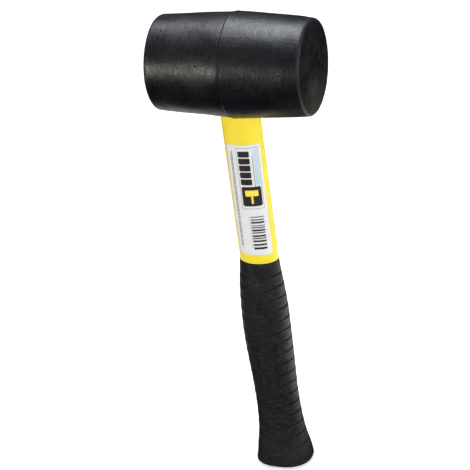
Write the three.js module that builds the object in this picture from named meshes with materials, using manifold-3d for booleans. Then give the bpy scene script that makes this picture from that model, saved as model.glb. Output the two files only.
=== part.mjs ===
// Rubber mallet: barrel-shaped rubber head bonded to a plastic-jacketed fibreglass
// handle with a ribbed rubber grip.
// Millimetres, +Z up the handle to the head, +X along the head. The origin is on the
// plane of the butt's flat underside, midway between the two striking faces.

import * as THREE from 'three';
import { mergeVertices } from 'three/addons/utils/BufferGeometryUtils.js';
import Module from 'manifold-3d';

const wasm = await Module();
wasm.setup();

// Head
const HEAD_Z = 289;
const HEAD_LENGTH = 101.2;
const FACE_RADIUS = 30.4;
const BELLY_RADIUS = 33.2;
const EDGE_ROUND = 1.8;
const FLASH_HEIGHT = 0.5;
const FLASH_WIDTH = 1.4;
const HEAD_SIDES = 72;

// Handle, whose axis leans slightly towards -X as it rises
const HANDLE_FOOT_X = 3.9;
const HANDLE_LEAN = 0.0205;
const SHAFT_HALF_X = 13;
const SHAFT_HALF_Y = 9.4;
const SHAFT_FOOT_Z = 14.3;
const TENON_FOOT_Z = 262;
const TENON_TOP_Z = 304;
const TENON_STEP = 0.5;
const KEY_GROOVES = 4;
const KEY_PITCH = 8;
const KEY_WIDTH = 3;
const KEY_DEPTH = 1;
const CORE_RADIUS = 5.5;

// Bond between the tenon and the head's eye
const BOND_THICKNESS = 1.2;
const BOND_CAP = 1.5;
const BOND_RECESS = 2;

// Grip
const GRIP_TOP_Z = 153;
const GRIP_BORE_STEP = 1.4;
const RIB_COUNT = 17;
const RIB_FIRST_Z = 12.8;
const RIB_PITCH = 8.07;
const RIB_GROOVE_WIDTH = 1.3;
const RIB_GROOVE_DEPTH = 0.55;

// Label
const LABEL_FOOT_Z = 160;
const LABEL_TOP_Z = 238;
const LABEL_THICKNESS = 0.25;
const LABEL_FROM_DEG = -139;
const LABEL_TO_DEG = -25;
const LABEL_STEPS = 22;

const OVAL_SIDES = 40;
const FIT_GAP = 0.1;
const END_GAP = 0.3;

const radians = THREE.MathUtils.degToRad;

// Distance of the handle's axis from the head's middle plane at height z.
function axisX(z) {
  return HANDLE_FOOT_X - HANDLE_LEAN * z;
}

// One level of an oval body: its height, half widths, and centre along X.
function station(z, halfX, halfY, x = axisX(z)) {
  return { z, halfX, halfY, x };
}

// A point on the axis that closes the end of an oval body.
function pole(z) {
  return station(z, 0, 0);
}

// Revolves one row of vertices per station, then stretches each row to its own oval.
function ovalLathe(stations) {
  const rows = stations.map((level, row) => new THREE.Vector2(level.halfX > 0 ? 1 : 0, row));
  const geometry = new THREE.LatheGeometry(rows, OVAL_SIDES);
  const position = geometry.getAttribute('position');
  for (let i = 0; i < position.count; i += 1) {
    const level = stations[Math.round(position.getY(i))];
    position.setXYZ(
      i,
      level.x + level.halfX * position.getX(i),
      -level.halfY * position.getZ(i),
      level.z
    );
  }
  return geometry;
}

function solidOf(geometry) {
  const bare = geometry.clone();
  bare.deleteAttribute('normal');
  bare.deleteAttribute('uv');
  const merged = mergeVertices(bare, 1e-4);
  return new wasm.Manifold(new wasm.Mesh({
    numProp: 3,
    vertProperties: merged.getAttribute('position').array,
    triVerts: new Uint32Array(merged.index.array)
  }));
}

function geometryOf(solid) {
  const mesh = solid.getMesh();
  const geometry = new THREE.BufferGeometry();
  geometry.setAttribute('position', new THREE.BufferAttribute(mesh.vertProperties, 3));
  geometry.setIndex(new THREE.BufferAttribute(mesh.triVerts, 1));
  geometry.computeVertexNormals();
  return geometry;
}

// Levels of the tenon inside the head, with grooves that key it into the bond.
function tenonStations() {
  const halfX = SHAFT_HALF_X - TENON_STEP;
  const halfY = SHAFT_HALF_Y - TENON_STEP;
  const stations = [station(TENON_FOOT_Z, halfX, halfY)];
  for (let groove = 0; groove < KEY_GROOVES; groove += 1) {
    const foot = TENON_FOOT_Z + 6 + groove * KEY_PITCH;
    stations.push(station(foot, halfX, halfY));
    stations.push(station(foot + KEY_DEPTH, halfX - KEY_DEPTH, halfY - KEY_DEPTH));
    stations.push(station(foot + KEY_WIDTH, halfX - KEY_DEPTH, halfY - KEY_DEPTH));
    stations.push(station(foot + KEY_WIDTH + KEY_DEPTH, halfX, halfY));
  }
  stations.push(station(TENON_TOP_Z - KEY_DEPTH, halfX, halfY));
  stations.push(station(TENON_TOP_Z, halfX - KEY_DEPTH, halfY - KEY_DEPTH));
  return stations;
}

// Half of the barrel's profile, from the moulding flash out to the face.
function halfProfile() {
  const half = HEAD_LENGTH / 2;
  const points = [
    [BELLY_RADIUS + FLASH_HEIGHT, FLASH_WIDTH / 4],
    [BELLY_RADIUS, FLASH_WIDTH / 2]
  ];
  for (const turn of [0, 30, 60, 90]) {
    points.push([
      FACE_RADIUS - EDGE_ROUND + EDGE_ROUND * Math.cos(radians(turn)),
      half - EDGE_ROUND + EDGE_ROUND * Math.sin(radians(turn))
    ]);
  }
  points.push([0, half]);
  return points;
}

// Two shallow cones turned about X that meet at the flash.
function barrel() {
  const outward = halfProfile();
  const inward = outward.map(([radius, along]) => [radius, -along]).reverse();
  const profile = [...inward, ...outward].map(([radius, along]) => new THREE.Vector2(radius, along));
  const geometry = new THREE.LatheGeometry(profile, HEAD_SIDES);
  geometry.rotateZ(-Math.PI / 2);
  geometry.translate(0, 0, HEAD_Z);
  return geometry;
}

function rubberHead() {
  const grow = BOND_THICKNESS - TENON_STEP + FIT_GAP;
  const eyeX = SHAFT_HALF_X + grow;
  const eyeY = SHAFT_HALF_Y + grow;
  const eyeTop = TENON_TOP_Z + BOND_CAP + FIT_GAP;
  const eyeFoot = HEAD_Z - BELLY_RADIUS - 10;
  const eye = ovalLathe([
    pole(eyeFoot),
    station(eyeFoot, eyeX, eyeY),
    station(eyeTop, eyeX, eyeY),
    pole(eyeTop)
  ]);
  return geometryOf(solidOf(barrel()).subtract(solidOf(eye)));
}

// Cured adhesive: a cup over the tenon that fills its key grooves.
function eyeAdhesive() {
  const halfX = SHAFT_HALF_X - TENON_STEP + BOND_THICKNESS;
  const halfY = SHAFT_HALF_Y - TENON_STEP + BOND_THICKNESS;
  const foot = TENON_FOOT_Z + BOND_RECESS;
  const top = TENON_TOP_Z + BOND_CAP;
  const inner = tenonStations()
    .filter((level) => level.z > foot)
    .map((level) => station(level.z, level.halfX + FIT_GAP, level.halfY + FIT_GAP))
    .reverse();
  const tip = inner[0];
  tip.z += FIT_GAP;
  const mouth = inner[inner.length - 1];
  return ovalLathe([
    pole(tip.z),
    ...inner,
    station(foot, mouth.halfX, mouth.halfY),
    station(foot, halfX, halfY),
    station(top, halfX, halfY),
    pole(top)
  ]);
}

// Plastic jacket: oval shaft, stepped down inside the grip, with a round bore for the core.
function handleJacket() {
  const innerX = SHAFT_HALF_X - GRIP_BORE_STEP;
  const innerY = SHAFT_HALF_Y - GRIP_BORE_STEP;
  const bore = CORE_RADIUS + FIT_GAP;
  const shoulder = GRIP_TOP_Z + END_GAP;
  const outer = [
    station(SHAFT_FOOT_Z, innerX, innerY),
    station(shoulder, innerX, innerY),
    station(shoulder, SHAFT_HALF_X, SHAFT_HALF_Y),
    station(TENON_FOOT_Z, SHAFT_HALF_X, SHAFT_HALF_Y),
    ...tenonStations()
  ];
  const foot = station(SHAFT_FOOT_Z, bore, bore);
  return ovalLathe([foot, ...outer, station(TENON_TOP_Z, bore, bore), foot]);
}

function fibreglassCore() {
  const chamfer = 0.6;
  const foot = SHAFT_FOOT_Z + END_GAP;
  const top = TENON_TOP_Z - END_GAP;
  const nose = CORE_RADIUS - chamfer;
  return ovalLathe([
    pole(foot),
    station(foot, nose, nose),
    station(foot + chamfer, CORE_RADIUS, CORE_RADIUS),
    station(top - chamfer, CORE_RADIUS, CORE_RADIUS),
    station(top, nose, nose),
    pole(top)
  ]);
}

// Outline of the grip from the bevelled rim of the butt up to the collar: height, half
// widths along X and Y, centre along X.
const GRIP_OUTLINE = [
  [0, 17.9, 15.6, 3.9],
  [1.1, 19.2, 17.2, 3.9],
  [2, 19.4, 17.4, 3.9],
  [8, 18.4, 15.7, 3.95],
  [13, 17.7, 14.8, 3.75],
  [20, 16.4, 13.3, 3.55],
  [29, 15.6, 12.1, 3.3],
  [39, 15.1, 11.65, 2.9],
  [53, 14.9, 11.55, 2.35],
  [67, 15.25, 11.9, 1.85],
  [83, 15.85, 12.4, 1.2],
  [101, 16.2, 12.7, 0.7],
  [119, 15.9, 12.4, 0.6],
  [135, 14.9, 11.4, 0.4],
  [147, 13.7, 10.2, 0.5],
  [GRIP_TOP_Z, 13.3, 9.8, 0.6]
];

// A smooth level of the grip at height z, sunk by the given depth.
function gripLevel(z, depth = 0) {
  const next = GRIP_OUTLINE.findIndex((level) => level[0] >= z);
  const upper = GRIP_OUTLINE[next];
  const lower = GRIP_OUTLINE[Math.max(next - 1, 0)];
  const share = upper === lower ? 0 : (z - lower[0]) / (upper[0] - lower[0]);
  const [halfX, halfY, x] = [1, 2, 3].map((i) => THREE.MathUtils.lerp(lower[i], upper[i], share));
  return station(z, halfX - depth, halfY - depth, x);
}

// Soft sleeve with ring-shaped rib grooves and a blind oval bore.
function gripSleeve() {
  const boreX = SHAFT_HALF_X - GRIP_BORE_STEP + FIT_GAP;
  const boreY = SHAFT_HALF_Y - GRIP_BORE_STEP + FIT_GAP;
  const boreFoot = SHAFT_FOOT_Z - END_GAP;
  const half = RIB_GROOVE_WIDTH / 2;
  const outer = [];
  for (const [z] of GRIP_OUTLINE) {
    if (z < RIB_FIRST_Z - half || z === GRIP_TOP_Z) outer.push(gripLevel(z));
  }
  for (let rib = 0; rib < RIB_COUNT; rib += 1) {
    const z = RIB_FIRST_Z + rib * RIB_PITCH;
    outer.push(gripLevel(z - half));
    outer.push(gripLevel(z, RIB_GROOVE_DEPTH));
    outer.push(gripLevel(z + half));
  }
  outer.sort((a, b) => a.z - b.z);
  return ovalLathe([
    pole(0),
    ...outer,
    station(GRIP_TOP_Z, boreX, boreY),
    station(boreFoot, boreX, boreY),
    pole(boreFoot)
  ]);
}

// Thin sheet wrapped round the front of the shaft.
function label() {
  const sheet = new THREE.Shape();
  const arc = (grow, fromDeg, toDeg) => {
    const points = [];
    for (let i = 0; i <= LABEL_STEPS; i += 1) {
      const angle = radians(THREE.MathUtils.lerp(fromDeg, toDeg, i / LABEL_STEPS));
      points.push(new THREE.Vector2(
        (SHAFT_HALF_X + grow) * Math.cos(angle),
        (SHAFT_HALF_Y + grow) * Math.sin(angle)
      ));
    }
    return points;
  };
  sheet.setFromPoints([
    ...arc(FIT_GAP + LABEL_THICKNESS, LABEL_FROM_DEG, LABEL_TO_DEG),
    ...arc(FIT_GAP, LABEL_TO_DEG, LABEL_FROM_DEG)
  ]);
  const depth = LABEL_TOP_Z - LABEL_FOOT_Z;
  const geometry = new THREE.ExtrudeGeometry(sheet, { depth, bevelEnabled: false });
  geometry.translate(0, 0, LABEL_FOOT_Z);
  geometry.applyMatrix4(new THREE.Matrix4().set(
    1, 0, -HANDLE_LEAN, HANDLE_FOOT_X,
    0, 1, 0, 0,
    0, 0, 1, 0,
    0, 0, 0, 1
  ));
  return geometry;
}

const mallet = new THREE.Group();
mallet.name = 'rubber_mallet';

function addPiece(name, geometry, color, roughness, metalness = 0) {
  const material = new THREE.MeshStandardMaterial({ color, roughness, metalness });
  const mesh = new THREE.Mesh(geometry, material);
  mesh.name = name;
  mallet.add(mesh);
}

addPiece('rubber_head', rubberHead(), 0x1c1c1f, 0.5);
addPiece('eye_adhesive', eyeAdhesive(), 0x6b6455, 0.4);
addPiece('handle_jacket', handleJacket(), 0xe8d232, 0.4);
addPiece('fibreglass_core', fibreglassCore(), 0xc8b878, 0.5);
addPiece('grip_sleeve', gripSleeve(), 0x232325, 0.75);
addPiece('label', label(), 0xe2e4e0, 0.5);

export default mallet;
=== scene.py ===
"""Rubber mallet: the visible surfaces, floor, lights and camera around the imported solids.

Metres, +Z up the handle to the head, +X along the head. The label is on the -Y side.
"""

import math
import random

import bpy
import numpy as np
from mathutils import Matrix, Vector


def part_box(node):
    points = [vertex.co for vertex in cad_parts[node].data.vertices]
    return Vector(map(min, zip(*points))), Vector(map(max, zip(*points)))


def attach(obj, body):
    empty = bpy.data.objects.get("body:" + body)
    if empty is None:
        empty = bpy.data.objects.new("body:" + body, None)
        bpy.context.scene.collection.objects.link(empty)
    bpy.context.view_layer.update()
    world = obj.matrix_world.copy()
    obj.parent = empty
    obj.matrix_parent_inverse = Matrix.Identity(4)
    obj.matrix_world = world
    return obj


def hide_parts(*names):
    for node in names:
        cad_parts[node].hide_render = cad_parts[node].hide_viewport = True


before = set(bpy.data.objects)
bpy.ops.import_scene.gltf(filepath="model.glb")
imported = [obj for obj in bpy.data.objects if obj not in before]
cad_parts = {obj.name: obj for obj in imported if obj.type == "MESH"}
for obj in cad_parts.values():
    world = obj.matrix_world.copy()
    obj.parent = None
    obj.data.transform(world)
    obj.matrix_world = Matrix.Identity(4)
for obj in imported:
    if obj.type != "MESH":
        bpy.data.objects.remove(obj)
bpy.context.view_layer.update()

MM = 0.001
TURN = 2 * math.pi

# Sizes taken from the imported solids
head_lo, head_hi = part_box("rubber_head")
shaft_lo, shaft_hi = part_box("handle_jacket")
_, grip_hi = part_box("grip_sleeve")
label_lo, label_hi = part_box("label")

# Head: barrel about X, with a moulding flash round its middle
HEAD_SIDES = 320
FLASH_HEIGHT = 0.5 * MM
FLASH_HALF_WIDTH = 0.7 * MM
FLASH_WAVE = 0.12 * MM
HEAD_Z = head_hi.z - (head_hi.y - head_lo.y) / 2
HEAD_HALF = (head_hi.x - head_lo.x) / 2
BELLY_RADIUS = (head_hi.y - head_lo.y) / 2 - FLASH_HEIGHT
FACE_RADIUS = 30.4 * MM
EDGE_ROUND = 1.8 * MM
HALF_MISMATCH = 0.45 * MM
FLASH_CREASE = 0.22 * MM
CREASE_ANGLE = 1.75
SWELL_ROOM = 0.1 * MM
MOULD_LINE_INSET = 11 * MM
MOULD_LINE_DEPTH = 0.12 * MM
# Places beside the middle plane and shares of the flash's full height
FLASH_CREST = [(0.4 * MM, 0.08), (0.15 * MM, 0.3)]
# Moulding pits: millimetres along the head, and degrees up round it from the front
HEAD_PITS = [(-41.5, 61.6), (-15.0, 19.0), (49.0, 31.0)]
EYE_HALF_X = 13.8 * MM
EYE_HALF_Y = 10.2 * MM
EYE_TOP_Z = 305.6 * MM
EYE_SIDES = 128
EYE_CUT_BELOW = 10 * MM

# Handle: its axis leans towards -X as it rises
HANDLE_FOOT_X = 3.9 * MM
HANDLE_LEAN = 0.0205
SHAFT_HALF_X = 13 * MM
SHAFT_HALF_Y = (shaft_hi.y - shaft_lo.y) / 2
SHAFT_SIDES = 144
GRIP_STEP = 1.4 * MM
SHOULDER = 0.3 * MM
CORE_BORE = 5.6 * MM
TENON_FOOT_Z = 262 * MM
TENON_STEP = 0.5 * MM
KEY_COUNT = 4
KEY_FIRST = 6 * MM
KEY_DEPTH = 1 * MM
KEY_WIDTH = 3 * MM
KEY_PITCH = 8 * MM

# Grip
GRIP_SIDES = 320
GRIP_TOP_Z = grip_hi.z
GRIP_BORE_FOOT_Z = 14 * MM
GRIP_BORE_GAP = 0.1 * MM
RIB_FIRST_Z = 10.8 * MM
RIB_PITCH = 8.07 * MM
RIB_COUNT = 17
RIB_RISE = 4.0 * MM
RIB_POWER = 4.8
RIB_REACH = 0.9 * MM
RIB_GROOVE_HALF = 0.38 * MM
RIB_GROOVE_DEPTH = 0.85 * MM
RIB_CROWN = 0.2 * MM
PANEL_X = 1.0 * MM
PANEL_Z = 76 * MM
PANEL_HALF_Z = 18.8 * MM
PANEL_HALF_X = 5.8 * MM
PANEL_CORNER = 3.5 * MM
PANEL_TILT = 0.058
PANEL_SINK = 0.3 * MM

# Height, half width along X, half depth along Y, centre along X and squareness: first the
# butt's flat base, then its rim, then the wall up to the collar
GRIP_BASE_MM = (0, 18.0, 14.8, 2.7, 2.4)
GRIP_OUTLINE_MM = [
    (1.1, 19.4, 16.7, 3.8, 2.35),
    (8, 18.4, 15.7, 3.95, 2.3),
    (13, 17.7, 14.8, 3.75, 2.25),
    (20, 16.4, 13.3, 3.55, 2.17),
    (29, 15.6, 12.1, 3.3, 2.08),
    (39, 15.1, 11.65, 2.9, 2.0),
    (53, 14.9, 11.55, 2.35, 2.0),
    (67, 15.25, 11.9, 1.85, 2.0),
    (83, 15.85, 12.4, 1.2, 2.0),
    (101, 16.2, 12.7, 0.7, 2.0),
    (119, 15.9, 12.4, 0.6, 2.0),
    (135, 14.9, 11.4, 0.4, 2.0),
    (147, 13.7, 10.2, 0.5, 2.0),
    (153, 13.3, 9.8, 0.6, 2.0),
]
# Half width, half depth and centre along X of the collar's flat top, inside its edge
COLLAR_TOP_MM = (13.05, 9.55, 0.61)
COLLAR_EDGE_MM = 0.2
RIM_ROUND_MM = 0.9
BASE_ROUND_MM = 0.6

# Label: places are distances round the shaft from its front line, and heights
LABEL_FOOT_Z = label_lo.z
LABEL_TOP_Z = label_hi.z
LABEL_LEFT = -10.4 * MM
LABEL_RIGHT = 13.5 * MM
LABEL_SKEW = 0.012
LABEL_CORNER = 1.2 * MM
LABEL_LIFT = 0.02 * MM
LABEL_THICK = 0.13 * MM
INK_THICK = 0.02 * MM
PRINT_LIFT = LABEL_LIFT + LABEL_THICK
# Printed areas as (left, right, foot, top) in millimetres
FRAME_LINES = [
    (-3.1, 11.5, 235.6, 236.0),
    (-3.1, 11.5, 193.2, 193.6),
    (-3.1, -2.75, 193.6, 235.6),
    (11.1, 11.5, 193.6, 235.6),
]
TINT = [(7.8, 10.7, 209.5, 234.4)]
RULE = [(7.0, 7.35, 208.8, 231)]
BLOCKS = [(-2.0, 5.4, foot, foot + 4.1) for foot in np.arange(210.2, 231, 4.85)]
BADGE = [(-2.1, 10.6, 195.2, 208.9)]
MALLET_SIGN = [(0.1, 8.5, 202.3, 206.4), (3.6, 5.0, 197.0, 202.2)]
BLOCK_CORNER = 0.7 * MM
BADGE_CORNER = 1.2 * MM
SIGN_CORNER = 0.3 * MM
# Small print: left edges of its two rows, width of a row, and heights of its ends
PRINT_ROWS = (-7.4, -6.4)
PRINT_WIDTH = 0.6
PRINT_FOOT, PRINT_TOP = 166, 233
# Bar strip: its sides, heights of its first bar, of the foot of the rest and of its end
CODE_LEFT, CODE_RIGHT = 1.6, 10.2
CODE_FIRST = (164.2, 165.8)
CODE_FOOT, CODE_TOP = 166.9, 188
# Strip of blocks beside the bars: its sides, its foot, and a block's height and pitch
CAPTION_LEFT, CAPTION_RIGHT = 0.3, 1.5
CAPTION_FOOT, CAPTION_HEIGHT, CAPTION_PITCH = 165.5, 1.1, 1.9


def axis_x(z):
    """Distance of the handle's axis from the head's middle plane at height z."""
    return HANDLE_FOOT_X - HANDLE_LEAN * z


# ---------------------------------------------------------------- materials

# Places of a mix node's two colours among its inputs, and of the mixed one
COLOR_INPUTS = (6, 7)
COLOR_OUTPUT = 2
WHITE_GLOW = (1, 1, 1, 1)


def new_material(name, color, roughness, **sockets):
    material = bpy.data.materials.new(name)
    material.use_nodes = True
    surface = material.node_tree.nodes["Principled BSDF"]
    surface.inputs["Base Color"].default_value = (*color, 1)
    surface.inputs["Roughness"].default_value = roughness
    for socket, value in sockets.items():
        surface.inputs[socket.replace("_", " ")].default_value = value
    return material


def set_range(node, *numbers):
    for socket, number in zip(("From Min", "From Max", "To Min", "To Max"), numbers):
        node.inputs[socket].default_value = number


class Tree:
    """Short names for the texture nodes that the materials share."""

    def __init__(self, material):
        self.tree = material.node_tree
        self.surface = self.tree.nodes["Principled BSDF"]
        self.coords = self.add("ShaderNodeTexCoord").outputs["Object"]
        self.normal = None

    def add(self, kind, **settings):
        node = self.tree.nodes.new(kind)
        for key, value in settings.items():
            setattr(node, key, value)
        return node

    def link(self, source, target):
        self.tree.links.new(source, target)

    def stretched(self, stretch):
        mapping = self.add("ShaderNodeMapping")
        mapping.inputs["Scale"].default_value = stretch
        self.link(self.coords, mapping.inputs["Vector"])
        return mapping.outputs["Vector"]

    def noise(self, size, stretch=(1, 1, 1), detail=4.0, roughness=0.55):
        """Noise whose features are about size metres across."""
        node = self.add("ShaderNodeTexNoise")
        node.inputs["Scale"].default_value = 1 / size
        node.inputs["Detail"].default_value = detail
        node.inputs["Roughness"].default_value = roughness
        self.link(self.stretched(stretch), node.inputs["Vector"])
        return node.outputs["Fac"]

    def specks(self, size, radius):
        """1 inside scattered round specks, 0 elsewhere."""
        node = self.add("ShaderNodeTexVoronoi")
        node.inputs["Scale"].default_value = 1 / size
        self.link(self.coords, node.inputs["Vector"])
        return self.spread(node.outputs["Distance"], radius, radius * 0.6, 0, 1)

    def spread(self, value, from_low, from_high, to_low, to_high):
        """A value carried from one range over to another, and held at its ends."""
        node = self.add("ShaderNodeMapRange")
        set_range(node, from_low, from_high, to_low, to_high)
        self.link(value, node.inputs["Value"])
        return node.outputs["Result"]

    def math(self, operation, first, second):
        node = self.add("ShaderNodeMath", operation=operation)
        for socket, value in zip(node.inputs, (first, second)):
            if isinstance(value, (int, float)):
                socket.default_value = value
            else:
                self.link(value, socket)
        return node.outputs[0]

    def attribute(self, name):
        """A number that the mesh carries at each of its points."""
        return self.add("ShaderNodeAttribute", attribute_name=name).outputs["Fac"]

    def distance(self, points, place):
        node = self.add("ShaderNodeVectorMath", operation="DISTANCE")
        self.link(points, node.inputs[0])
        node.inputs[1].default_value = place
        return node.outputs["Value"]

    def near(self, place, radius, reach):
        """1 within radius of a place, fading to 0 at the distance reach."""
        return self.spread(self.distance(self.coords, place), reach, radius, 0, 1)

    def blend(self, factor, low, high):
        """A colour between two, either of which may be a colour or a socket."""
        node = self.add("ShaderNodeMix", data_type="RGBA")
        self.link(factor, node.inputs["Factor"])
        for index, value in zip(COLOR_INPUTS, (low, high)):
            if isinstance(value, tuple):
                node.inputs[index].default_value = (*value, 1)
            else:
                self.link(value, node.inputs[index])
        return node.outputs[COLOR_OUTPUT]

    def color(self, socket):
        self.link(socket, self.surface.inputs["Base Color"])

    def roughness(self, socket):
        self.link(socket, self.surface.inputs["Roughness"])

    def bump(self, height, distance):
        """Adds one layer of relief, in metres of height, over those before it."""
        node = self.add("ShaderNodeBump")
        node.inputs["Strength"].default_value = 1.0
        node.inputs["Distance"].default_value = distance
        self.link(height, node.inputs["Height"])
        if self.normal:
            self.link(self.normal, node.inputs["Normal"])
        self.normal = node.outputs["Normal"]
        self.link(self.normal, self.surface.inputs["Normal"])


def head_rubber():
    """Black rubber: blotches, draw streaks, dust and pits, with a worn patch and a painted
    floor reflection low on the right face.
    """
    material = new_material("head_rubber", (0.006, 0.006, 0.007), 0.35)
    t = Tree(material)
    blotch = t.noise(14 * MM, detail=6, roughness=0.65)
    mottle = t.noise(2.6 * MM, detail=6, roughness=0.75)
    streak = t.noise(5 * MM, stretch=(6, 1, 1), detail=5)
    smear = t.noise(4 * MM, stretch=(0.15, 1, 1), detail=5, roughness=0.6)
    grain = t.noise(0.8 * MM, detail=3)
    dark, light = (0.0014, 0.0013, 0.0028), (0.0042, 0.0039, 0.0068)
    tone = t.blend(t.spread(blotch, 0.35, 0.7, 0, 1), dark, light)
    dust = t.math("MULTIPLY", t.specks(4.5 * MM, 0.09), t.spread(blotch, 0.5, 0.62, 0, 0.6))
    tone = t.blend(dust, tone, (0.05, 0.05, 0.05))
    # Lighter brownish patch low on the right face: partly wear, partly a painted reflection
    # of the floor.
    face_wear_and_painted_reflection = t.near((HEAD_HALF, -2 * MM, HEAD_Z - 26 * MM), 6 * MM, 27 * MM)
    face_wear_and_painted_reflection = t.math("MULTIPLY", face_wear_and_painted_reflection, t.spread(blotch, 0.35, 0.6, 0.5, 1))
    tone = t.blend(face_wear_and_painted_reflection, tone, (0.030, 0.027, 0.020))
    pits = None
    for along, degrees in HEAD_PITS:
        share = 1 - abs(along) * MM / HEAD_HALF
        radius = FACE_RADIUS + (BELLY_RADIUS - FACE_RADIUS) * share
        lift = math.radians(degrees)
        place = (along * MM, -radius * math.cos(lift), HEAD_Z + radius * math.sin(lift))
        spot = t.near(place, 0.6 * MM, 1.1 * MM)
        pits = spot if pits is None else t.math("MAXIMUM", pits, spot)
    t.color(t.blend(pits, tone, (0.002, 0.002, 0.002)))
    rough = t.spread(blotch, 0.3, 0.7, 0.26, 0.36)
    rough = t.math("ADD", rough, t.spread(streak, 0.38, 0.64, -0.01, 0.11))
    rough = t.math("ADD", rough, t.spread(mottle, 0.35, 0.65, -0.01, 0.06))
    from_middle = t.distance(t.stretched((1, 0, 0)), (0, 0, 0))
    from_axis = t.distance(t.stretched((0, 1, 1)), (0, 0, HEAD_Z))
    worn = t.spread(from_middle, HEAD_HALF - 2.4 * MM, HEAD_HALF - 0.9 * MM, 0, 0.22)
    worn = t.math("MULTIPLY", worn, t.spread(from_axis, 27.4 * MM, 28.8 * MM, 0, 1))
    rough = t.math("ADD", rough, worn)
    t.roughness(t.math("MAXIMUM", rough, t.math("MULTIPLY", pits, 0.9)))
    t.bump(blotch, 0.3 * MM)
    t.bump(smear, 0.08 * MM)
    t.bump(streak, 0.06 * MM)
    t.bump(mottle, 0.03 * MM)
    t.bump(grain, 0.07 * MM)
    return material


def jacket_plastic():
    """Yellow plastic with faint draw lines along the handle."""
    material = new_material("jacket_plastic", (0.73, 0.59, 0.03), 0.4)
    t = Tree(material)
    cloud = t.noise(25 * MM, detail=3)
    draw = t.noise(3 * MM, stretch=(1, 1, 0.06), detail=4)
    deep, pale = (0.72, 0.565, 0.010), (0.78, 0.62, 0.016)
    t.color(t.blend(t.spread(cloud, 0.3, 0.7, 0, 1), deep, pale))
    t.roughness(t.spread(draw, 0.3, 0.7, 0.32, 0.46))
    t.bump(cloud, 0.25 * MM)
    t.bump(draw, 0.05 * MM)
    return material


def grip_rubber():
    """Dull black rubber, mottled and dusty, rougher in the grooves and darkened there with
    dirt and painted shade.
    """
    material = new_material(
        "grip_rubber", (0.012, 0.012, 0.012), 0.6, Specular_IOR_Level=0.3
    )
    t = Tree(material)
    cloud = t.noise(11 * MM, detail=5, roughness=0.6)
    mottle = t.noise(1.6 * MM, stretch=(0.6, 0.6, 1.3), detail=5, roughness=0.7)
    grain = t.noise(0.55 * MM, detail=3)
    dark, light = (0.0035, 0.0035, 0.0037), (0.0100, 0.0100, 0.0104)
    tone = t.blend(t.spread(cloud, 0.3, 0.7, 0, 1), dark, light)
    tone = t.blend(t.spread(mottle, 0.5, 0.72, 0, 1), tone, (0.031, 0.031, 0.032))
    dust = t.math("MULTIPLY", t.specks(3.2 * MM, 0.1), t.spread(cloud, 0.48, 0.58, 0, 0.8))
    tone = t.blend(dust, tone, (0.09, 0.09, 0.09))
    groove_dirt_and_shade = t.attribute("groove")
    # Grooves and panel border darkened: partly dirt, partly painted shade in the recesses.
    t.color(t.blend(groove_dirt_and_shade, tone, (0.002, 0.002, 0.002)))
    rough = t.spread(mottle, 0.3, 0.7, 0.42, 0.62)
    t.roughness(t.math("ADD", rough, t.math("MULTIPLY", groove_dirt_and_shade, 0.3)))
    t.bump(cloud, 0.2 * MM)
    t.bump(mottle, 0.3 * MM)
    t.bump(grain, 0.06 * MM)
    return material


def epoxy():
    """Cured adhesive, cloudy brown."""
    material = new_material("bond_epoxy", (0.16, 0.13, 0.09), 0.35)
    t = Tree(material)
    cloud = t.noise(4 * MM, detail=4)
    t.color(t.blend(cloud, (0.11, 0.09, 0.06), (0.22, 0.18, 0.12)))
    t.roughness(t.spread(cloud, 0.3, 0.7, 0.25, 0.5))
    t.bump(cloud, 0.15 * MM)
    return material


def fibreglass():
    """Pale rod with strands along it."""
    material = new_material("core_fibreglass", (0.56, 0.47, 0.20), 0.5)
    t = Tree(material)
    strands = t.noise(1.2 * MM, stretch=(1, 1, 0.02), detail=5)
    t.color(t.blend(strands, (0.46, 0.37, 0.14), (0.68, 0.60, 0.32)))
    t.roughness(t.spread(strands, 0.3, 0.7, 0.4, 0.65))
    t.bump(strands, 0.08 * MM)
    return material


def label_film():
    """Coated paper, slightly wavy."""
    material = new_material("label_film", (0.75, 0.76, 0.78), 0.35, Coat_Weight=0.15)
    t = Tree(material)
    cloud = t.noise(9 * MM, detail=3)
    fibre = t.noise(0.6 * MM, detail=3)
    t.color(t.blend(cloud, (0.58, 0.575, 0.59), (0.67, 0.675, 0.68)))
    t.roughness(t.spread(fibre, 0.3, 0.7, 0.3, 0.45))
    t.bump(cloud, 0.12 * MM)
    t.bump(fibre, 0.01 * MM)
    return material


def ink(name, color):
    """Printed ink: its colour thins a little in places, as on a cheap label."""
    material = new_material(name, color, 0.4)
    t = Tree(material)
    wear = t.noise(1.5 * MM, detail=4)
    faded = tuple(min(1.0, c * 1.15 + 0.012) for c in color)
    t.color(t.blend(t.spread(wear, 0.35, 0.7, 0, 1), color, faded))
    t.roughness(t.spread(wear, 0.3, 0.7, 0.35, 0.5))
    t.bump(wear, 0.005 * MM)
    return material


def floor_paint():
    """Pale paint that glows a little, and more with distance, so the floor stays white."""
    material = new_material(
        "floor_paint", (0.93, 0.93, 0.93), 0.9, Emission_Color=WHITE_GLOW
    )
    t = Tree(material)
    cloud = t.noise(0.4, detail=2)
    t.color(t.blend(cloud, (0.925, 0.925, 0.925), (0.935, 0.935, 0.935)))
    from_object = t.distance(t.coords, (0, 0, 0))
    glow = t.spread(from_object, 0.4, 1.6, 0.45, 1.0)
    t.link(glow, t.surface.inputs["Emission Strength"])
    return material


# ---------------------------------------------------------------- mesh helpers

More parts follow.
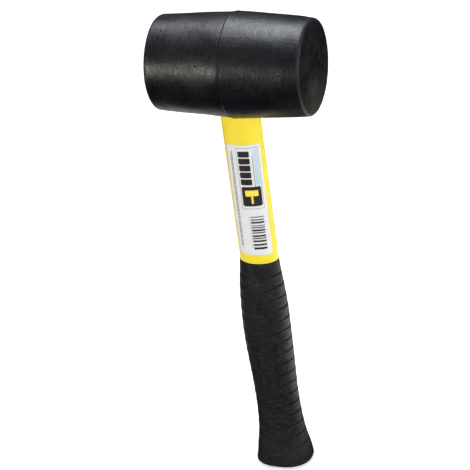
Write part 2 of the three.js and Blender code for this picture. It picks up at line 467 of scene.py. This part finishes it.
def make_object(name, vertices, faces, material, sharp_deg=40):
    mesh = bpy.data.meshes.new(name)
    mesh.from_pydata([tuple(v) for v in np.asarray(vertices, float).tolist()], [], faces)
    mesh.polygons.foreach_set("use_smooth", [True] * len(mesh.polygons))
    mesh.set_sharp_from_angle(angle=math.radians(sharp_deg))
    mesh.update()
    mesh.materials.append(material)
    piece = bpy.data.objects.new(name, mesh)
    bpy.context.scene.collection.objects.link(piece)
    return piece


def add_piece(piece, slot, *nodes):
    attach(piece, "root")
    if nodes:
        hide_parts(*nodes)
    return piece


def skin(rings, loop=False):
    """Vertices and faces over a stack of rings, joined in a loop or capped at its ends."""
    count, sides = rings.shape[:2]
    vertices = rings.reshape(-1, 3)
    faces = []
    for row in range(count if loop else count - 1):
        low = row * sides
        high = ((row + 1) % count) * sides
        for side in range(sides):
            after = (side + 1) % sides
            faces.append((low + side, low + after, high + after, high + side))
    if not loop:
        faces.append(tuple(range(sides - 1, -1, -1)))
        faces.append(tuple(range((count - 1) * sides, count * sides)))
    return vertices, faces


def oval_rings(stations, sides):
    """Rings about the handle's axis from (z, half x, half y, centre x, squareness) rows."""
    angle = np.linspace(0, TURN, sides, endpoint=False)
    cos, sin = np.cos(angle), np.sin(angle)
    rings = []
    for z, half_x, half_y, centre, square in stations:
        power = 2 / square
        x = centre + half_x * np.sign(cos) * np.abs(cos) ** power
        y = half_y * np.sign(sin) * np.abs(sin) ** power
        rings.append(np.stack([x, y, np.full(sides, z)], -1))
    return np.array(rings)


def smooth_curve(at, knots, values):
    """Cubic curve through the knots, with tangents from their neighbours."""
    at = np.asarray(at, float)
    slope = np.gradient(values, knots)
    index = np.clip(np.searchsorted(knots, at, side="right") - 1, 0, len(knots) - 2)
    step = knots[index + 1] - knots[index]
    t = np.clip((at - knots[index]) / step, 0, 1)
    return (
        (1 + 2 * t) * (1 - t) ** 2 * values[index]
        + t * (1 - t) ** 2 * step * slope[index]
        + t**2 * (3 - 2 * t) * values[index + 1]
        + t**2 * (t - 1) * step * slope[index + 1]
    )


def ease(value):
    """0 below 0, 1 above 1, smooth between."""
    t = np.clip(value, 0, 1)
    return t * t * (3 - 2 * t)


# ---------------------------------------------------------------- head

def head_profile():
    """(x, radius) from the middle of the left face to the middle of the right one."""
    flat = FACE_RADIUS - EDGE_ROUND
    start = HEAD_HALF - EDGE_ROUND
    points = [(HEAD_HALF, radius) for radius in np.linspace(0.4 * MM, flat, 12)]
    for turn in np.linspace(0, math.pi / 2, 9)[1:]:
        out, up = EDGE_ROUND * math.cos(turn), EDGE_ROUND * math.sin(turn)
        points.append((start + out, flat + up))
    near_flash = FLASH_HALF_WIDTH + np.array([1.6, 1.2, 0.9, 0.6, 0.3, 0]) * MM
    for x in np.concatenate([np.linspace(start, 2.8 * MM, 58)[1:], near_flash]):
        share = (start - x) / (start - FLASH_HALF_WIDTH)
        points.append((x, FACE_RADIUS + (BELLY_RADIUS - FACE_RADIUS) * share))
    points += [(x, BELLY_RADIUS + FLASH_HEIGHT * share) for x, share in FLASH_CREST]
    left = [(-x, radius) for x, radius in points]
    return np.array(left + points[::-1])


def head_mesh(material):
    """Uneven barrel with a step, a flash and a crease at its middle plane."""
    profile = head_profile()
    x, radius = profile[:, :1], profile[:, 1:]
    angle = np.linspace(0, TURN, HEAD_SIDES, endpoint=False)[None, :]
    on_wall = ease((radius - 20 * MM) / (9 * MM))
    on_right = ease((x + 0.3 * MM) / (0.5 * MM)) * ease((HEAD_HALF - x) / (12 * MM))
    mould_line = np.exp(-(((x + HEAD_HALF - MOULD_LINE_INSET) / (0.5 * MM)) ** 2))
    swell = (
        0.10 * MM * np.sin(2 * angle + 0.6) * np.cos(90 * x)
        + 0.07 * MM * np.sin(5 * angle + 140 * x)
        + 0.05 * MM * np.sin(9 * angle - 210 * x + 1.0)
    )
    wavy_flash = FLASH_WAVE * np.sin(7 * angle) * np.exp(-((x / (0.5 * MM)) ** 2))
    crease_x = -FLASH_HALF_WIDTH - 0.4 * MM
    crease = FLASH_CREASE * np.exp(-(((x - crease_x) / (0.45 * MM)) ** 2))
    crease = crease * (0.3 + 0.7 * np.exp(-(((angle - CREASE_ANGLE) / 0.6) ** 2)))
    moulding = HALF_MISMATCH * on_right - MOULD_LINE_DEPTH * mould_line
    radius = radius + on_wall * (swell - SWELL_ROOM + moulding + wavy_flash - crease)
    radius = np.minimum(radius, BELLY_RADIUS + FLASH_HEIGHT + SWELL_ROOM)
    across = np.broadcast_to(x, radius.shape)
    rings = np.stack([across, -radius * np.sin(angle), HEAD_Z + radius * np.cos(angle)], -1)
    vertices, faces = skin(rings)
    return make_object("barrel_head", vertices, faces, material, 30)


def cut_eye(piece):
    """Opens the blind oval socket that takes the handle."""
    foot = HEAD_Z - BELLY_RADIUS - EYE_CUT_BELOW
    stations = [(z, EYE_HALF_X, EYE_HALF_Y, axis_x(z), 2) for z in (foot, EYE_TOP_Z)]
    rings = oval_rings(stations, EYE_SIDES)
    cutter = make_object("eye_cutter", *skin(rings), piece.data.materials[0])
    modifier = piece.modifiers.new("eye", "BOOLEAN")
    modifier.operation = "DIFFERENCE"
    modifier.solver = "MANIFOLD"
    modifier.object = cutter
    graph = bpy.context.evaluated_depsgraph_get()
    carved = bpy.data.meshes.new_from_object(piece.evaluated_get(graph))
    piece.modifiers.clear()
    piece.data = carved
    carved.polygons.foreach_set("use_smooth", [True] * len(carved.polygons))
    carved.set_sharp_from_angle(angle=math.radians(30))
    bpy.data.objects.remove(cutter)


# ---------------------------------------------------------------- handle

def shaft_mesh(material):
    """Jacket: stepped down in the grip, oval up to the head, keyed tenon, round bore."""
    thin_x, thin_y = SHAFT_HALF_X - GRIP_STEP, SHAFT_HALF_Y - GRIP_STEP
    tenon_x, tenon_y = SHAFT_HALF_X - TENON_STEP, SHAFT_HALF_Y - TENON_STEP
    shoulder_z = GRIP_TOP_Z + SHOULDER
    rows = [(shaft_lo.z, CORE_BORE, CORE_BORE), (shaft_lo.z, thin_x, thin_y)]
    rows += [(z, thin_x, thin_y) for z in np.linspace(shaft_lo.z, shoulder_z, 10)[1:]]
    rows.append((shoulder_z, SHAFT_HALF_X - SHOULDER, SHAFT_HALF_Y - SHOULDER))
    rows += [
        (z, SHAFT_HALF_X, SHAFT_HALF_Y)
        for z in np.linspace(shoulder_z + SHOULDER, TENON_FOOT_Z, 60)
    ]
    rows.append((TENON_FOOT_Z, tenon_x, tenon_y))
    for groove in range(KEY_COUNT):
        foot = TENON_FOOT_Z + KEY_FIRST + groove * KEY_PITCH
        rows += [
            (foot, tenon_x, tenon_y),
            (foot + KEY_DEPTH, tenon_x - KEY_DEPTH, tenon_y - KEY_DEPTH),
            (foot + KEY_WIDTH, tenon_x - KEY_DEPTH, tenon_y - KEY_DEPTH),
            (foot + KEY_WIDTH + KEY_DEPTH, tenon_x, tenon_y),
        ]
    rows += [
        (shaft_hi.z - KEY_DEPTH, tenon_x, tenon_y),
        (shaft_hi.z, tenon_x - KEY_DEPTH, tenon_y - KEY_DEPTH),
        (shaft_hi.z, CORE_BORE, CORE_BORE),
    ]
    stations = [(z, half_x, half_y, axis_x(z), 2) for z, half_x, half_y in rows]
    vertices, faces = skin(oval_rings(stations, SHAFT_SIDES), loop=True)
    return make_object("handle_shaft", vertices, faces, material, 35)


def rib_lift(angle):
    """How much higher a groove runs at an angle than at the front and back of the grip."""
    return RIB_RISE * (1 - np.abs(np.sin(angle)) ** RIB_POWER)


def grip_relief(phase, angle):
    """How far the skin stands out (+) or in (-) at a place in ribs and an angle, and
    how much of a groove is there, from 0 to 1."""
    nearest = np.clip(np.round(phase), 0, RIB_COUNT - 1)
    off = (phase - nearest) * RIB_PITCH
    groove = np.exp(-np.abs(off / RIB_GROOVE_HALF) ** 2)
    uneven = np.sin(5 * angle + 2.1 * nearest) * np.sin(8 * angle - 3.7 * nearest)
    deep = (1 - 0.6 * np.abs(np.sin(angle)) ** 3) * (0.8 + 0.3 * uneven)
    inside = ease(phase / 0.3) * ease((RIB_COUNT - 1 - phase) / 0.3)
    below_groove = phase - np.floor(phase)
    step = RIB_CROWN * below_groove**1.5 * inside
    return step - RIB_GROOVE_DEPTH * groove * deep, groove * deep


def panel_shape(across, z):
    """Share of the long panels on the grip's front and back, of their border and of the
    strip round it, where the grooves end."""
    middle = PANEL_X + PANEL_TILT * (z - PANEL_Z)
    dx = np.maximum(np.abs(across - middle) - (PANEL_HALF_X - PANEL_CORNER), 0)
    dz = np.maximum(np.abs(z - PANEL_Z) - (PANEL_HALF_Z - PANEL_CORNER), 0)
    out = np.hypot(dx, dz) - PANEL_CORNER
    ragged = 0.6 + 0.5 * np.sin(z / (1.3 * MM)) * np.sin(z / (3.1 * MM) + across / (2 * MM))
    inside = ease(0.5 - out / (0.9 * MM))
    border = ragged * np.exp(-(((out - 0.3 * MM) / (0.75 * MM)) ** 2))
    strip = np.exp(-(((out - 1.5 * MM) / (1.8 * MM)) ** 2))
    return inside, border, strip


def rounded(start, corner, end, steps):
    """Rows along a curve that cuts the corner between two rows."""
    share = np.linspace(0, 1, steps)[:, None]
    return (1 - share) ** 2 * start + 2 * share * (1 - share) * corner + share**2 * end


def grip_rows():
    """Rows of the butt as in the outline table, and of the wall as (height at the front,
    share of the rib lift), all in millimetres."""
    base = np.array(GRIP_BASE_MM)
    outline = np.array(GRIP_OUTLINE_MM)
    knots = outline[:, 0]
    rim = outline[0]
    last = (RIB_FIRST_Z + (RIB_COUNT - 1) * RIB_PITCH) / MM
    first, pitch, reach = RIB_FIRST_Z / MM, RIB_PITCH / MM, RIB_REACH / MM
    near_groove = np.linspace(-reach, reach, 13)
    between_grooves = np.linspace(reach, pitch - reach, 11)[1:-1]
    wall_foot, wall_top = rim[0] + RIM_ROUND_MM, knots[-1] - COLLAR_EDGE_MM
    heights = [np.linspace(wall_foot, first - reach, 9)[:-1]]
    for rib in range(RIB_COUNT):
        heights.append(first + rib * pitch + near_groove)
        if rib < RIB_COUNT - 1:
            heights.append(first + rib * pitch + between_grooves)
    heights.append(np.linspace(last + reach, wall_top, 12)[1:])
    heights = np.concatenate(heights)
    share = np.clip((heights - wall_foot) / (first - reach - wall_foot), 0, 1)
    share *= np.clip((wall_top - heights) / (wall_top - last - reach), 0, 1)
    foot = base - np.array([0, BASE_ROUND_MM, BASE_ROUND_MM, 0, 0])
    bevel_low, bevel_high = base + 0.15 * (rim - base), base + 0.7 * (rim - base)
    start = [wall_foot]
    start += [smooth_curve(wall_foot, knots, outline[:, column]) for column in range(1, 5)]
    butt = np.concatenate(
        [
            rounded(foot, base, bevel_low, 5),
            base + np.linspace(0.25, 0.6, 4)[:, None] * (rim - base),
            rounded(bevel_high, rim, np.array(start, float), 7)[:-1],
        ]
    )
    return butt, np.stack([heights, share], -1)


def grip_mesh(material):
    """Ribbed sleeve with a flared, bevelled butt, smooth collar and blind oval bore."""
    outline = np.array(GRIP_OUTLINE_MM)
    knots = outline[:, 0]
    butt, wall = grip_rows()
    angle = np.linspace(0, TURN, GRIP_SIDES, endpoint=False)[None, :]
    lift = rib_lift(angle) / MM
    z = np.concatenate([butt[:, :1] + 0 * lift, wall[:, :1] + wall[:, 1:] * lift])
    columns = []
    for column in range(1, 5):
        on_wall = smooth_curve(z[len(butt) :], knots, outline[:, column])
        columns.append(np.concatenate([butt[:, column : column + 1] + 0 * lift, on_wall]))
    half_x, half_y, centre, square = columns
    cos, sin = np.cos(angle), np.sin(angle)
    x = half_x * np.sign(cos) * np.abs(cos) ** (2 / square)
    y = half_y * np.sign(sin) * np.abs(sin) ** (2 / square)
    front_height = np.concatenate([butt[:, 0], wall[:, 0]])[:, None] * MM
    phase = (front_height - RIB_FIRST_Z) / RIB_PITCH + 0 * angle
    panel, border, strip = np.array(panel_shape(x * MM, z * MM)) * (np.abs(sin) > 0.5)
    ribbed, groove = grip_relief(phase, angle)
    relief = (ribbed * (1 - panel) - PANEL_SINK * np.maximum(panel, border)) / MM
    # Mask for dirt and painted shade in the grooves, the strip where they end and the panel
    # border.
    groove_dirt_and_shade = np.maximum(np.minimum(groove * (1 + 2 * strip), 1) * (1 - panel), border)
    relief[: len(butt)] = 0
    normal_x, normal_y = x / half_x**2, y / half_y**2
    length = np.hypot(normal_x, normal_y)
    x = x + relief * normal_x / length
    y = y + relief * normal_y / length
    outer = np.stack([x + centre, y, z], -1) * MM
    bore_x = SHAFT_HALF_X - GRIP_STEP + GRIP_BORE_GAP
    bore_y = SHAFT_HALF_Y - GRIP_STEP + GRIP_BORE_GAP
    stations = [(GRIP_TOP_Z, *(size * MM for size in COLLAR_TOP_MM), 2)]
    stations += [(z, bore_x, bore_y, axis_x(z), 2) for z in (GRIP_TOP_Z, GRIP_BORE_FOOT_Z)]
    bore = oval_rings(stations, GRIP_SIDES)
    vertices, faces = skin(np.concatenate([outer, bore]))
    piece = make_object("grip_moulding", vertices, faces, material, 50)
    shade = np.zeros(len(vertices))
    shade[: groove_dirt_and_shade.size] = groove_dirt_and_shade.ravel()
    # The groove attribute carries this mask of dirt and painted shade to the material.
    piece.data.attributes.new("groove", "FLOAT", "POINT").data.foreach_set("value", shade)
    return piece


# ---------------------------------------------------------------- label

# Angles round the shaft, and how far each lies from its front line
ARC_ANGLE = np.linspace(-math.pi, math.pi, 4001)
ARC_STEP = np.hypot(
    np.diff(SHAFT_HALF_X * np.cos(ARC_ANGLE)), np.diff(SHAFT_HALF_Y * np.sin(ARC_ANGLE))
)
ARC_LENGTH = np.concatenate([[0], np.cumsum(ARC_STEP)])
ARC_LENGTH -= np.interp(-math.pi / 2, ARC_ANGLE, ARC_LENGTH)


def on_shaft(around, z, lift):
    """Points at a distance round the shaft from its front line, lifted off its skin."""
    around = around + LABEL_SKEW * (z - (LABEL_FOOT_Z + LABEL_TOP_Z) / 2)
    angle = np.interp(around, ARC_LENGTH, ARC_ANGLE)
    x, y = SHAFT_HALF_X * np.cos(angle), SHAFT_HALF_Y * np.sin(angle)
    normal = np.stack([x / SHAFT_HALF_X**2, y / SHAFT_HALF_Y**2], -1)
    normal /= np.linalg.norm(normal, axis=-1, keepdims=True)
    return np.stack(
        [axis_x(z) + x + lift * normal[..., 0], y + lift * normal[..., 1], z + 0 * x], -1
    )


def plate(left, right, foot, top, lift, thick, corner=0.0):
    """Thin closed sheet on the shaft between two distances round it and two heights."""
    columns = np.linspace(left, right, max(3, int((right - left) / (0.5 * MM)) + 2))
    if corner:
        ends = corner * (1 - np.cos(np.linspace(0, math.pi / 2, 7)[:-1]))
        middle = np.linspace(left + corner, right - corner, len(columns))
        columns = np.concatenate([left + ends, middle, right - ends[::-1]])
        gap = np.minimum(columns - left, right - columns)
        rounding = corner - np.sqrt(np.maximum(corner**2 - (corner - gap) ** 2, 0))
        inset = np.where(gap < corner, rounding, 0)
    else:
        inset = np.zeros(len(columns))
    rows = int((top - foot) / (2 * MM)) + 2
    share = np.linspace(0, 1, rows)[:, None]
    z = (foot + inset)[None, :] * (1 - share) + (top - inset)[None, :] * share
    around = np.broadcast_to(columns, z.shape)
    outer = on_shaft(around, z, lift + thick).reshape(-1, 3)
    inner = on_shaft(around, z, lift).reshape(-1, 3)
    wide = len(columns)
    count = rows * wide
    faces = []
    for row in range(rows - 1):
        for column in range(wide - 1):
            a = row * wide + column
            faces.append((a, a + 1, a + 1 + wide, a + wide))
            faces.append((count + a, count + a + wide, count + a + 1 + wide, count + a + 1))
    rim = list(range(wide))
    rim += [row * wide + wide - 1 for row in range(1, rows)]
    rim += [(rows - 1) * wide + column for column in range(wide - 2, -1, -1)]
    rim += [row * wide for row in range(rows - 2, 0, -1)]
    for a, b in zip(rim, rim[1:] + rim[:1]):
        faces.append((b, a, count + a, count + b))
    return np.concatenate([outer, inner]), faces


def printed(name, rectangles, material, corner=0.0, lift=PRINT_LIFT):
    """One print made of several sheets, each (left, right, foot, top) in millimetres."""
    vertices, faces = [], []
    for left, right, foot, top in rectangles:
        points, quads = plate(
            left * MM, right * MM, foot * MM, top * MM, lift, INK_THICK, corner
        )
        base = sum(len(v) for v in vertices)
        vertices.append(points)
        faces += [tuple(base + index for index in face) for face in quads]
    piece = make_object(name, np.concatenate(vertices), faces, material, 60)
    add_piece(piece, "label_film")


def small_print_dashes():
    """Unreadable lines of print: short dashes of uneven length in two rows."""
    shuffle = random.Random(5)
    dashes = []
    for left in PRINT_ROWS:
        z = PRINT_FOOT
        while z < PRINT_TOP:
            length = shuffle.uniform(0.7, 2.6)
            dashes.append((left, left + PRINT_WIDTH, z, z + length))
            z += length + shuffle.uniform(0.3, 0.6)
    return dashes


def code_bars():
    """A strip of bars of uneven width, which encodes nothing."""
    shuffle = random.Random(11)
    bars = [(CODE_LEFT, CODE_RIGHT, *CODE_FIRST)]
    z = CODE_FOOT
    while z < CODE_TOP:
        width = shuffle.choice((0.6, 0.8, 0.8, 1.3))
        bars.append((CODE_LEFT, CODE_RIGHT, z, z + width))
        z += width + shuffle.choice((0.7, 0.9, 1.3))
    return bars


def code_caption():
    """A strip of small blocks beside the bars, in place of figures."""
    feet = np.arange(CAPTION_FOOT, CODE_TOP, CAPTION_PITCH)
    return [(CAPTION_LEFT, CAPTION_RIGHT, z, z + CAPTION_HEIGHT) for z in feet]


def label_pieces():
    film = label_film()
    black = ink("ink_black", (0.010, 0.010, 0.011))
    dark_grey = ink("ink_dark_grey", (0.10, 0.10, 0.11))
    grey = ink("ink_grey", (0.26, 0.26, 0.29))
    pale_grey = ink("ink_pale_grey", (0.45, 0.45, 0.46))
    sky = ink("ink_sky", (0.38, 0.50, 0.55))
    yellow = ink("ink_yellow", (0.78, 0.56, 0.03))

    edges = LABEL_LEFT, LABEL_RIGHT, LABEL_FOOT_Z, LABEL_TOP_Z
    sheet = plate(*edges, LABEL_LIFT, LABEL_THICK, LABEL_CORNER)
    add_piece(make_object("label_sheet", *sheet, film, 60), "label_film", "label")

    printed("label_frame", FRAME_LINES, grey)
    printed("label_tint", TINT, sky)
    printed("label_rule", RULE, dark_grey)
    printed("label_blocks", BLOCKS, black, BLOCK_CORNER)
    printed("label_badge", BADGE, black, BADGE_CORNER)
    printed("label_badge_sign", MALLET_SIGN, yellow, SIGN_CORNER, PRINT_LIFT + INK_THICK)
    printed("label_code", code_bars(), black)
    printed("label_code_caption", code_caption(), pale_grey)
    printed("label_small_print", small_print_dashes(), dark_grey)


# ---------------------------------------------------------------- build the object

head = head_mesh(head_rubber())
cut_eye(head)
add_piece(head, "head_rubber", "rubber_head")
add_piece(shaft_mesh(jacket_plastic()), "jacket_plastic", "handle_jacket")
add_piece(grip_mesh(grip_rubber()), "grip_rubber", "grip_sleeve")
label_pieces()

for node, material in (("eye_adhesive", epoxy()), ("fibreglass_core", fibreglass())):
    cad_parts[node].data.materials.clear()
    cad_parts[node].data.materials.append(material)


# ---------------------------------------------------------------- floor, lights, camera

FLOOR_HALF = 6.0
DOME_RADIUS = 5.8
SKY_COLOR = (0.93, 0.95, 1, 1)
# Upward slopes where the sky is dimmest and brightest, and its strength there
SKY_RANGE = (-0.1, 0.9, 0.008, 0.26)
COOL_LIGHT = (0.88, 0.92, 1)
WARM_LIGHT = (1, 0.95, 0.86)
WHITE_LIGHT = (1, 1, 1)
FLOOR_LIGHT = (1, 0.97, 0.94)
BOUNCE_LIFT = 0.003


def add_floor():
    turns = ((-1, -1), (1, -1), (1, 1), (-1, 1))
    corners = [(x * FLOOR_HALF, y * FLOOR_HALF, 0) for x, y in turns]
    floor = make_object("studio_floor", corners, [(0, 1, 2, 3)], floor_paint())
    floor.visible_glossy = False


def add_backdrop():
    """White dome behind everything, seen only by the camera."""
    stations = []
    for turn in np.linspace(-0.05, 1.5, 12):
        radius, height = DOME_RADIUS * math.cos(turn), DOME_RADIUS * math.sin(turn)
        stations.append((height, radius, radius, 0, 2))
    rings = oval_rings(stations, 48)
    white = new_material(
        "backdrop", (0, 0, 0), 1, Emission_Color=WHITE_GLOW, Emission_Strength=1
    )
    dome = make_object("studio_backdrop", *skin(rings), white)
    dome.visible_diffuse = False
    dome.visible_glossy = False
    dome.visible_transmission = False
    dome.visible_shadow = False


def add_light(name, place, target, size, power, color):
    data = bpy.data.lights.new(name, "AREA")
    data.shape = "RECTANGLE"
    data.size, data.size_y = size
    data.energy = power
    data.color = color
    light = bpy.data.objects.new(name, data)
    light.location = place
    direction = Vector(target) - Vector(place)
    light.rotation_euler = direction.to_track_quat("-Z", "Y").to_euler()
    bpy.context.scene.collection.objects.link(light)
    return light


def add_world():
    """Soft surround: dim below the horizon, brighter overhead."""
    world = bpy.data.worlds.new("studio")
    world.use_nodes = True
    nodes, links = world.node_tree.nodes, world.node_tree.links
    split = nodes.new("ShaderNodeSeparateXYZ")
    links.new(nodes.new("ShaderNodeTexCoord").outputs["Generated"], split.inputs[0])
    ramp = nodes.new("ShaderNodeMapRange")
    set_range(ramp, *SKY_RANGE)
    links.new(split.outputs["Z"], ramp.inputs["Value"])
    background = nodes["Background"]
    background.inputs["Color"].default_value = SKY_COLOR
    links.new(ramp.outputs["Result"], background.inputs["Strength"])
    bpy.context.scene.world = world


# Camera: direction it looks from, as turn and height in degrees, its roll and distance
CAMERA_AZIMUTH = 22.774
CAMERA_ELEVATION = 26.492
CAMERA_ROLL = -6.783
CAMERA_DISTANCE = 1.2
CAMERA_ASIDE = -0.00094
CAMERA_DOWN = 0.10595
CAMERA_LENS = 147.96
CAMERA_SENSOR = 36


def add_camera():
    azimuth, elevation = math.radians(CAMERA_AZIMUTH), math.radians(CAMERA_ELEVATION)
    back = Vector(
        (
            math.sin(azimuth) * math.cos(elevation),
            -math.cos(azimuth) * math.cos(elevation),
            math.sin(elevation),
        )
    )
    level = Vector((0, 0, 1)).cross(back).normalized()
    up = back.cross(level)
    roll = math.radians(CAMERA_ROLL)
    right = math.cos(roll) * level + math.sin(roll) * up
    top = math.cos(roll) * up - math.sin(roll) * level
    place = Vector((0, 0, HEAD_Z)) + CAMERA_DISTANCE * back
    place = place + CAMERA_ASIDE * right - CAMERA_DOWN * top
    data = bpy.data.cameras.new("camera")
    data.lens = CAMERA_LENS
    data.sensor_width = CAMERA_SENSOR
    camera = bpy.data.objects.new("camera", data)
    turned = Matrix((right, top, back)).transposed().to_4x4()
    camera.matrix_world = Matrix.Translation(place) @ turned
    bpy.context.scene.collection.objects.link(camera)
    bpy.context.scene.camera = camera


add_floor()
add_backdrop()
add_world()
head_centre = (0, 0, HEAD_Z)
for settings in (
    ("overhead", (-0.12, 0.27, 1.25), head_centre, (0.65, 0.78), 13, COOL_LIGHT),
    ("front_left", (-0.65, -0.98, 0.355), head_centre, (0.54, 0.105), 5.3, WARM_LIGHT),
    ("front_right", (0.95, -1.1, 0.45), (0, 0, 0.15), (0.7, 0.7), 7, WHITE_LIGHT),
    ("side_right", (1.1, 0.15, 0.34), (0, 0, 0.12), (0.5, 0.5), 5, WHITE_LIGHT),
):
    add_light(*settings)
for name, x, y, wide, deep, power in (
    ("floor_bounce_left", -0.21, 0.21, 0.22, 0.3, 0.2),
    ("floor_bounce_right", 0.17, 0.14, 0.22, 0.26, 0.52),
    ("floor_bounce_back", 0.24, 0.43, 0.34, 0.26, 0.03),
):
    place, above = (x, y, BOUNCE_LIFT), (x, y, 1)
    bounce = add_light(name, place, above, (wide, deep), power, FLOOR_LIGHT)
    bounce.visible_camera = False
add_camera()
bpy.context.scene.view_settings.view_transform = "Standard"
